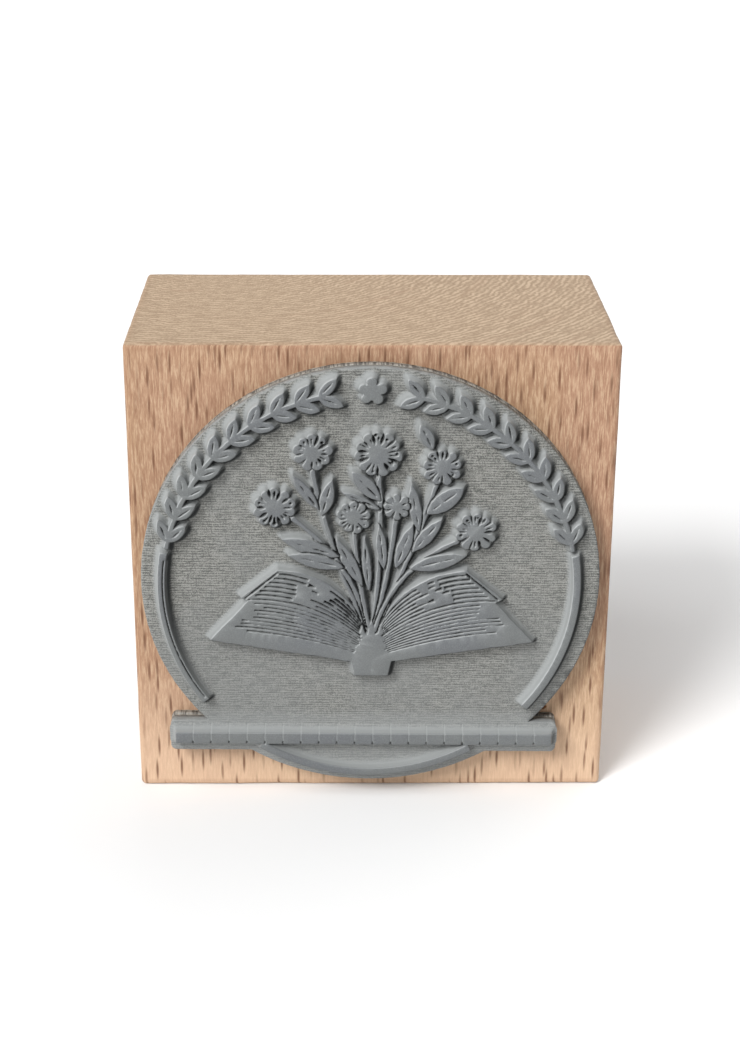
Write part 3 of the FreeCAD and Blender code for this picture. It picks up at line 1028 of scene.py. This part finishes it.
    def away(self, centre, size):
        """Distance from a point, in units of size, both in millimetres."""
        scaled = self.node("ShaderNodeMapping", vector_type="POINT")
        self.link(self.place, scaled.inputs["Vector"])
        scaled.inputs["Scale"].default_value = [1 / (MM * s) for s in size]
        scaled.inputs["Location"].default_value = [-c / s for c, s in zip(centre, size)]
        length = self.node("ShaderNodeVectorMath", operation="LENGTH")
        self.link(scaled.outputs[0], length.inputs[0])
        return length.outputs["Value"]

    def attribute(self, name):
        return self.node("ShaderNodeAttribute", attribute_name=name).outputs["Fac"]

    def bump(self, height, strength, distance_mm):
        made = self.node("ShaderNodeBump")
        made.inputs["Strength"].default_value = strength
        made.inputs["Distance"].default_value = distance_mm * MM
        self.link(height, made.inputs["Height"])
        self.link(made.outputs[0], self.shader.inputs["Normal"])

    def finish(self, colour, roughness, specular=0.5):
        self.link(colour, self.shader.inputs["Base Color"])
        self.link(roughness, self.shader.inputs["Roughness"])
        self.link(specular, self.shader.inputs["Specular IOR Level"])
        return self.material


def rgb(red, green, blue):
    """Linear colour from 0-255 display values."""
    def linear(value):
        c = value / 255
        return c / 12.92 if c <= 0.04045 else ((c + 0.055) / 1.055) ** 2.4
    return (linear(red), linear(green), linear(blue), 1.0)


def beech():
    """Flat-sawn beech: short dark ray flecks on the sides, rippled rings on the ends."""
    n = Nodes("beech_wood")
    turn = (0, 0, RADIAL_TURN_DEG)
    tree = n.tree_place()
    broad = n.noise(n.mapped((0.05, 0.05, 0.03), turn), 2.0)
    streaks = n.noise(n.mapped((2.6, 0.4, 0.06), turn), 3.0, 0.65)
    mottle = n.noise(n.mapped((8.0, 2.0, 0.6), turn), 3.0, 0.75)
    strength = n.noise(n.mapped((1.3, 0.02, 0.2), turn), 1.0)
    fleck = n.ranged(n.cells(n.mapped((1.75, 1.0, 0.155), turn), flat=True), 0.28, 0.06)
    fleck = n.math("MULTIPLY", fleck, n.ranged(strength, 0.35, 0.6, 0.25, 0.85))
    height = n.math("DIVIDE", n.position("Z"), MM)
    face = n.mix(n.ranged(broad, 0.35, 0.65), rgb(*WOOD_ROSY), rgb(*WOOD_YELLOW))
    face = n.mix(n.ranged(streaks, 0.35, 0.68, 0.0, 0.3), face, rgb(*WOOD_BROWN))
    face = n.mix(n.ranged(mottle, 0.49, 0.62, 0.0, 0.85), face, rgb(*WOOD_PALE))
    face = n.mix(n.ranged(mottle, 0.5, 0.37, 0.0, 0.7), face, rgb(*WOOD_BROWN))
    # painted light: paler towards the bottom, lifting the die's shadow on the wood
    face = n.mix(n.ranged(height, 18.0, 0.5, 0.0, 0.6), face, rgb(*WOOD_PAINTED_LIGHT))
    face = n.mix(fleck, face, rgb(*WOOD_FLECK))
    ripples = n.waves(n.stretched(tree, (0.75, 0.46, 0.02)), 5.0, "Y")
    broken = n.noise(n.stretched(tree, (0.5, 1.2, 0.1)), 2.0, 0.6)
    fine = n.noise(n.stretched(tree, (4.0, 3.0, 2.0)), 2.0, 0.6)
    rings = n.noise(n.stretched(tree, (0.05, 0.5, 0.05)), 3.0, 0.55, 0.5)
    ripples = n.math("MULTIPLY", ripples, n.ranged(broken, 0.3, 0.7, 0.08, 0.5))
    grain = n.math("ADD", ripples, n.math("MULTIPLY", fine, 0.75))
    end = n.mix(n.ranged(grain, 0.22, 0.86), rgb(*END_DARK), rgb(*END_PALE))
    end = n.mix(n.ranged(rings, 0.58, 0.72, 0.0, 0.4), end, rgb(*END_RING))
    upright = n.ranged(n.math("ABSOLUTE", n.normal()["Z"]), 0.55, 0.8)
    colour = n.mix(upright, face, end)
    colour = n.mix(n.math("MULTIPLY", n.attribute("edge"), 0.15), colour, rgb(*WOOD_BROWN))
    spots = n.noise(n.mapped((3.5, 1.0, 3.5)), 2.0)
    near = n.ranged(n.away(SCORCH_AT, SCORCH_SIZE), 0.3, 1.3, 0.75, 0.0)
    burn = n.math("SUBTRACT", near, n.math("MULTIPLY", spots, 0.7))
    colour = n.mix(n.ranged(burn, 0.0, 0.2), colour, rgb(*SCORCH_BROWN))
    colour = n.mix(n.ranged(burn, 0.2, 0.4), colour, rgb(*CHAR_AND_PAINTED_SHADE))
    relief = n.math("SUBTRACT", n.math("MULTIPLY", mottle, 0.5), n.math("MULTIPLY", fleck, 0.5))
    n.bump(n.math("ADD", relief, n.math("MULTIPLY", ripples, 0.3)), 0.5, 0.1)
    return n.finish(colour, 0.6, 0.3)


def rubber():
    """Laser rubber: smooth print face and shoulders, a rough line-scanned floor, with painted shade and painted
    highlights on its relief.
    """
    n = Nodes("grey_rubber")
    depth = n.math("SUBTRACT", n.math("DIVIDE", n.position("Y"), MM), PRINT_Y)
    floor_share = n.ranged(depth, 0.8, 1.15)
    cut_share = n.ranged(depth, 0.02, 0.3)
    level = (0, -DIE_TILT_DEG, 0)
    rows = n.noise(n.mapped((0.8, 1.0, 8.2), level), 2.0, 0.6)
    columns = n.noise(n.mapped((7.5, 1.0, 1.1), level), 2.0, 0.6)
    grain = n.noise(n.mapped((8.0, 8.0, 8.0)), 3.0, 0.75)
    cloud = n.noise(n.mapped((0.1, 0.1, 0.1)), 3.0, 0.55)
    scan = n.waves(n.mapped((0.03, 0.03, 1.15), level), 1.2, "Z")
    weave = n.math("ADD", n.math("MULTIPLY", rows, 0.31), n.math("MULTIPLY", columns, 0.12))
    weave = n.math("ADD", weave, n.math("MULTIPLY", grain, 0.51))
    weave = n.math("ADD", weave, n.math("MULTIPLY", scan, 0.07))
    floor = n.mix(n.ranged(weave, 0.43, 0.575), rgb(*FLOOR_DARK), rgb(*FLOOR_PALE))
    height = n.math("DIVIDE", n.position("Z"), MM)
    floor = n.mix(n.ranged(height, 22.0, 13.0, 0.0, 0.22), floor, rgb(*SHOULDER_GREY))
    floor = n.mix(n.ranged(cloud, 0.4, 0.65, 0.0, 0.3), floor, rgb(*SHOULDER_GREY))
    slope = n.mix(n.ranged(grain, 0.35, 0.65, 0.0, 0.3), rgb(*SHOULDER_GREY), rgb(*FLOOR_PALE))
    top = n.mix(n.ranged(cloud, 0.35, 0.65), rgb(*TOP_BLUE), rgb(*TOP_GREY))
    top = n.mix(n.ranged(grain, 0.42, 0.66, 0.0, 0.38), top, rgb(*SHOULDER_GREY))
    colour = n.mix(cut_share, top, n.mix(floor_share, slope, floor))
    # low down: weaker painted shade and highlights, and the cut-away rubber painted lighter against the name
    # line's and ring's cast shadows
    weak_shading = n.ranged(height, WEAK_SHADING_BELOW + 1.0, WEAK_SHADING_BELOW - 1.0)
    painted_lift = n.math("MULTIPLY", n.math("MULTIPLY", weak_shading, cut_share), 0.45)
    colour = n.mix(painted_lift, colour, rgb(*PAINTED_LIT_GREY))
    # painted shade on slopes facing away from the key light (to the lower right), painted light on slopes
    # facing it
    normal = n.normal()
    lee = n.math("SUBTRACT", n.math("MULTIPLY", normal["X"], 0.65), n.math("MULTIPLY", normal["Z"], 0.6))
    painted_shading = n.attribute("painted_shading")
    # painted shade: near black in narrow grooves and along the lower right of raised parts
    painted_dark = n.math("MULTIPLY", n.ranged(painted_shading, 0.1, 0.95), n.ranged(weak_shading, 0, 1, 0.92, 0.5))
    colour = n.mix(painted_dark, colour, rgb(*CHAR_AND_PAINTED_SHADE))
    # painted shade on slopes facing away from the key light
    away = n.math("MULTIPLY", n.ranged(lee, 0.05, 0.55), n.ranged(weak_shading, 0, 1, 0.8, 0.25))
    colour = n.mix(away, colour, rgb(*PAINTED_SHADE_GREY))
    # painted light on slopes facing the key light
    toward = n.math("MULTIPLY", n.ranged(lee, -0.05, -0.65), n.ranged(weak_shading, 0, 1, 0.75, 0.25))
    colour = n.mix(toward, colour, rgb(*PAINTED_LIT_GREY))
    # painted highlight on upper left edges and on the name line's seams
    pale = n.math("MULTIPLY", n.ranged(painted_shading, -0.1, -0.9), n.ranged(weak_shading, 0, 1, 0.6, 0.22))
    colour = n.mix(pale, colour, rgb(*PAINTED_HIGHLIGHT))
    relief = n.math("MULTIPLY", weave, n.ranged(depth, 0.6, 1.15, 0.12, 1.0))
    n.bump(relief, 0.9, 0.2)
    return n.finish(colour, n.ranged(depth, 0.0, 0.5, 0.48, 0.75), n.ranged(painted_dark, 0, 0.8, 0.4, 0.03))


def foam():
    """Charred and pale streaks across a laser-cut edge."""
    n = Nodes("cushion_foam")
    streaks = n.noise(n.mapped((3.4, 0.2, 3.4)), 2.0, 0.6)
    cells = n.cells(n.mapped((6.0, 6.0, 6.0)))
    colour = n.mix(n.ranged(streaks, 0.4, 0.62), rgb(104, 102, 98), rgb(164, 161, 154))
    n.bump(n.math("ADD", streaks, n.math("MULTIPLY", cells, 0.4)), 0.6, 0.15)
    return n.finish(colour, 0.85, 0.3)


def adhesive():
    n = Nodes("adhesive_film")
    cloud = n.noise(n.mapped((1.5, 1.5, 1.5)), 2.0)
    colour = n.mix(cloud, rgb(140, 134, 122), rgb(168, 162, 150))
    return n.finish(colour, n.ranged(cloud, 0.3, 0.7, 0.35, 0.5), 0.5)


# ---- the pieces
def place_piece(piece, node):
    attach(piece, "root")
    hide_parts(node)


def build_stamp():
    film = adhesive()
    outline = cut_outline(0.25)
    place_piece(wood_block(beech()), "wood_block")
    place_piece(layer_piece("adhesive_on_block", outline, FRONT_FACE_Y, FOAM_BACK_Y, 0.02, 21, film),
                "block_adhesive")
    cushion = layer_piece("foam_cushion_layer", outline, FOAM_BACK_Y, FOAM_FRONT_Y, 0.07, 31, foam())
    place_piece(cushion, "foam_cushion")
    place_piece(layer_piece("adhesive_on_foam", outline, FOAM_FRONT_Y, DIE_BACK_Y, 0.02, 41, film),
                "die_adhesive")
    place_piece(rubber_die(rubber()), "rubber_die")


# ---- studio
LIGHTS = (                # name, direction towards it, strength, softness in degrees
    ("key", (-0.48, -0.62, 0.60), 2.35, 22),
    ("high", (-0.36, -0.46, 0.81), 0.85, 30),
    ("back", (0.35, 0.61, 0.71), 0.85, 60),
)
SKY_STRENGTH = 0.34


def floor_and_light():
    bpy.ops.mesh.primitive_plane_add(size=8.0, location=(0, 0, 0))
    ground = bpy.context.object
    ground.name = "pale_floor"
    paint = bpy.data.materials.new("pale_paint")
    paint.use_nodes = True
    paint.node_tree.nodes["Principled BSDF"].inputs["Base Color"].default_value = (0.95, 0.95, 0.95, 1)
    paint.node_tree.nodes["Principled BSDF"].inputs["Roughness"].default_value = 0.9
    ground.data.materials.append(paint)

    world = bpy.data.worlds.new("studio")
    world.use_nodes = True
    world.node_tree.nodes["Background"].inputs["Color"].default_value = (1, 1, 1, 1)
    world.node_tree.nodes["Background"].inputs["Strength"].default_value = SKY_STRENGTH
    bpy.context.scene.world = world
    for name, towards, strength, softness in LIGHTS:
        light = bpy.data.lights.new(name, "SUN")
        light.energy = strength
        light.angle = math.radians(softness)
        lamp = bpy.data.objects.new(name, light)
        bpy.context.scene.collection.objects.link(lamp)
        lamp.rotation_euler = Vector(towards).to_track_quat("Z", "Y").to_euler()


# ---- camera at the photograph's viewing angle
CAMERA_FROM_FACE = (-2.95, -187.15, 105.75)   # from the bottom middle of the block's front face
CAMERA_PITCH_DEG = 21.99
CAMERA_YAW_DEG = 0.84
CAMERA_ROLL_DEG = 0.29
CAMERA_LENS = 66.41                            # on a 36 mm sensor along the frame's long side


def camera():
    pitch, yaw, roll = (math.radians(a) for a in (CAMERA_PITCH_DEG, CAMERA_YAW_DEG, CAMERA_ROLL_DEG))
    ahead = Vector((math.sin(yaw) * math.cos(pitch), math.cos(yaw) * math.cos(pitch), -math.sin(pitch)))
    level = Vector((math.cos(yaw), -math.sin(yaw), 0))
    upright = level.cross(ahead)
    right = level * math.cos(roll) + upright * math.sin(roll)
    up = upright * math.cos(roll) - level * math.sin(roll)
    data = bpy.data.cameras.new("camera")
    data.lens = CAMERA_LENS
    data.sensor_width = 36
    data.clip_start = 0.005
    viewer = bpy.data.objects.new("camera", data)
    bpy.context.scene.collection.objects.link(viewer)
    turn = Matrix((right, up, -ahead)).transposed().to_4x4()
    place = Vector(CAMERA_FROM_FACE) + Vector((0, FRONT_FACE_Y, 0))
    viewer.matrix_world = Matrix.Translation(place * MM) @ turn
    bpy.context.scene.camera = viewer


build_stamp()
floor_and_light()
camera()
bpy.context.scene.view_settings.view_transform = "Standard"
